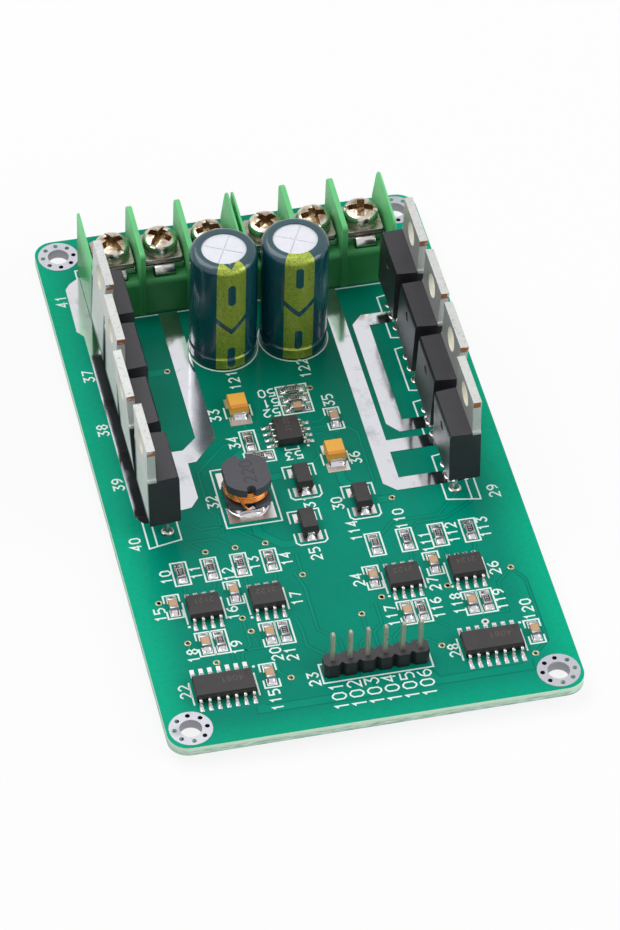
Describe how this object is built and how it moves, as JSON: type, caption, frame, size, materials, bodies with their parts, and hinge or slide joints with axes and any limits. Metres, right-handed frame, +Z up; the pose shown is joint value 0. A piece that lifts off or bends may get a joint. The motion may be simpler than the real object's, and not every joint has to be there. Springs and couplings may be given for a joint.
{
  "type": "dc motor driver module",
  "caption": "Circuit board motor driver with standing power transistors along both sides, screw terminals at the back and a pin header in front.",
  "frame": {"origin": "under the middle of the board, level with the tips of the cropped leads", "axes": "+Y towards the screw terminals, +Z up out of the board's component side"},
  "size_m": [0.06, 0.105, 0.0234],
  "materials": {
    "mask_green": "gloss solder mask",
    "tinned_copper": "hot tinned, mirror-like",
    "solder": "bright solder",
    "block_green": "moulded, slightly clear",
    "plated_screws": "nickel plated",
    "plated_steel": "nickel plated",
    "tinned_brass": "tin plated",
    "can_aluminium": "satin",
    "sleeve": "shrunk film",
    "seal_rubber": "moulded",
    "tinned_leads": "tin plated",
    "transistor_plastic": "moulded, fine grain",
    "transistor_tab": "satin tin plate",
    "ferrite": "ground ceramic",
    "enamelled_copper": "enamelled wire",
    "tantalum_yellow": "moulded",
    "chip_black": "moulded, fine grain",
    "resistor_black": "glazed",
    "ceramic_tan": "fired ceramic",
    "header_gold": "plated pins"
  },
  "bodies": {
    "root": {"board": "mask_green", "mounting_pads": "tinned_copper", "power_tracks": "tinned_copper", "component_pads": "tinned_copper", "solder_joints": "solder", "terminal_block_left": "block_green", "terminal_block_right": "block_green", "terminal_screws_left": "plated_screws", "terminal_screws_right": "plated_screws", "clamp_washers_left": "plated_steel", "clamp_washers_right": "plated_steel", "terminal_contacts_left": "tinned_brass", "terminal_contacts_right": "tinned_brass", "capacitor_can_left": "can_aluminium", "capacitor_can_right": "can_aluminium", "capacitor_sleeve_left": "sleeve", "capacitor_sleeve_right": "sleeve", "capacitor_seal_left": "seal_rubber", "capacitor_seal_right": "seal_rubber", "capacitor_leads": "tinned_leads", "mosfet_body_1": "transistor_plastic", "mosfet_body_2": "transistor_plastic", "mosfet_body_3": "transistor_plastic", "mosfet_body_4": "transistor_plastic", "mosfet_body_5": "transistor_plastic", "mosfet_body_6": "transistor_plastic", "mosfet_body_7": "transistor_plastic", "mosfet_body_8": "transistor_plastic", "mosfet_tab_1": "transistor_tab", "mosfet_tab_2": "transistor_tab", "mosfet_tab_3": "transistor_tab", "mosfet_tab_4": "transistor_tab", "mosfet_tab_5": "transistor_tab", "mosfet_tab_6": "transistor_tab", "mosfet_tab_7": "transistor_tab", "mosfet_tab_8": "transistor_tab", "mosfet_side_legs": "tinned_leads", "inductor_core": "ferrite", "inductor_winding": "enamelled_copper", "inductor_terminals": "tinned_leads", "tantalum_body_1": "tantalum_yellow", "tantalum_body_2": "tantalum_yellow", "tantalum_terminals": "tinned_leads", "converter_chip_body": "chip_black", "driver_chip_body_1": "chip_black", "driver_chip_body_2": "chip_black", "driver_chip_body_3": "chip_black", "driver_chip_body_4": "chip_black", "logic_chip_body_1": "chip_black", "logic_chip_body_2": "chip_black", "chip_leads": "tinned_leads", "diode_bodies": "chip_black", "diode_terminals": "tinned_leads", "resistor_bodies": "resistor_black", "resistor_terminations": "tinned_leads", "ceramic_bodies": "ceramic_tan", "ceramic_terminations": "tinned_leads", "header_strip": "chip_black", "header_pins": "header_gold"}
  },
  "joints": []
}
